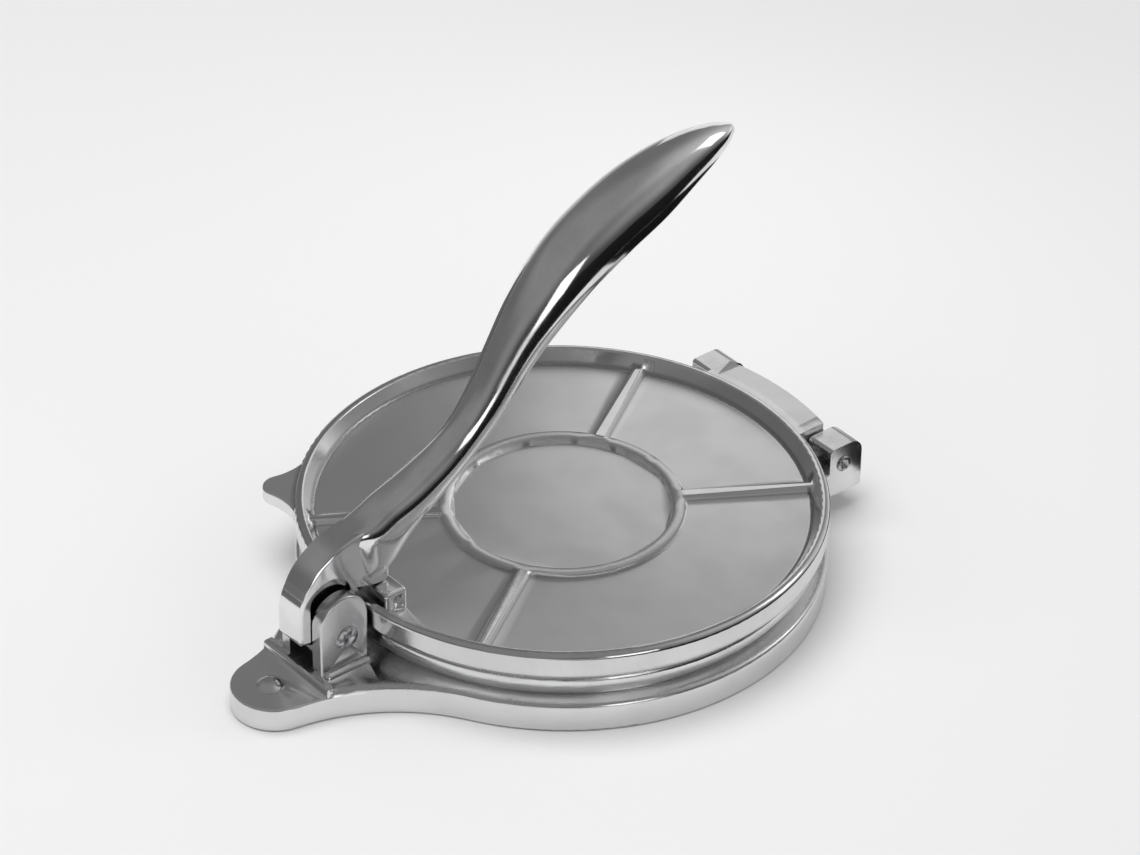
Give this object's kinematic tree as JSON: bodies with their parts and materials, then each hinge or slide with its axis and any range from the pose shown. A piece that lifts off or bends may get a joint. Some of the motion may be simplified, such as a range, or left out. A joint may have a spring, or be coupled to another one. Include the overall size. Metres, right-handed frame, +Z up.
{
  "type": "tortilla press",
  "caption": "Round tortilla press with a hinged upper plate and a lever handle whose nose presses the plate down.",
  "frame": {"origin": "middle of the footprint, on the table", "axes": "+Z up, +X from the tongue towards the plate's hinge, +Y across the press"},
  "size_m": [0.271, 0.204, 0.1728],
  "materials": {
    "polished_casting": "polished",
    "pin_steel": "satin"
  },
  "bodies": {
    "base": {"base_casting": "polished_casting", "handle_pivot_pin": "pin_steel", "hinge_pin": "pin_steel"},
    "plate": {"upper_plate": "polished_casting"},
    "handle": {"press_handle": "polished_casting"}
  },
  "joints": [
    {"name": "handle_pivot", "type": "hinge", "parent": "base", "child": "handle", "pos_m": [-0.0945, 0, 0.0265], "axis": [0, -1, 0], "range_deg": [0, 60]},
    {"name": "plate_hinge", "type": "hinge", "parent": "base", "child": "plate", "pos_m": [0.126, 0, 0.0235], "axis": [0, 1, 0], "range_deg": [0, 5.4]}
  ],
  "couplings": [
    {"joint": "plate_hinge", "follows": "handle_pivot", "ratio": 0.09}
  ]
}
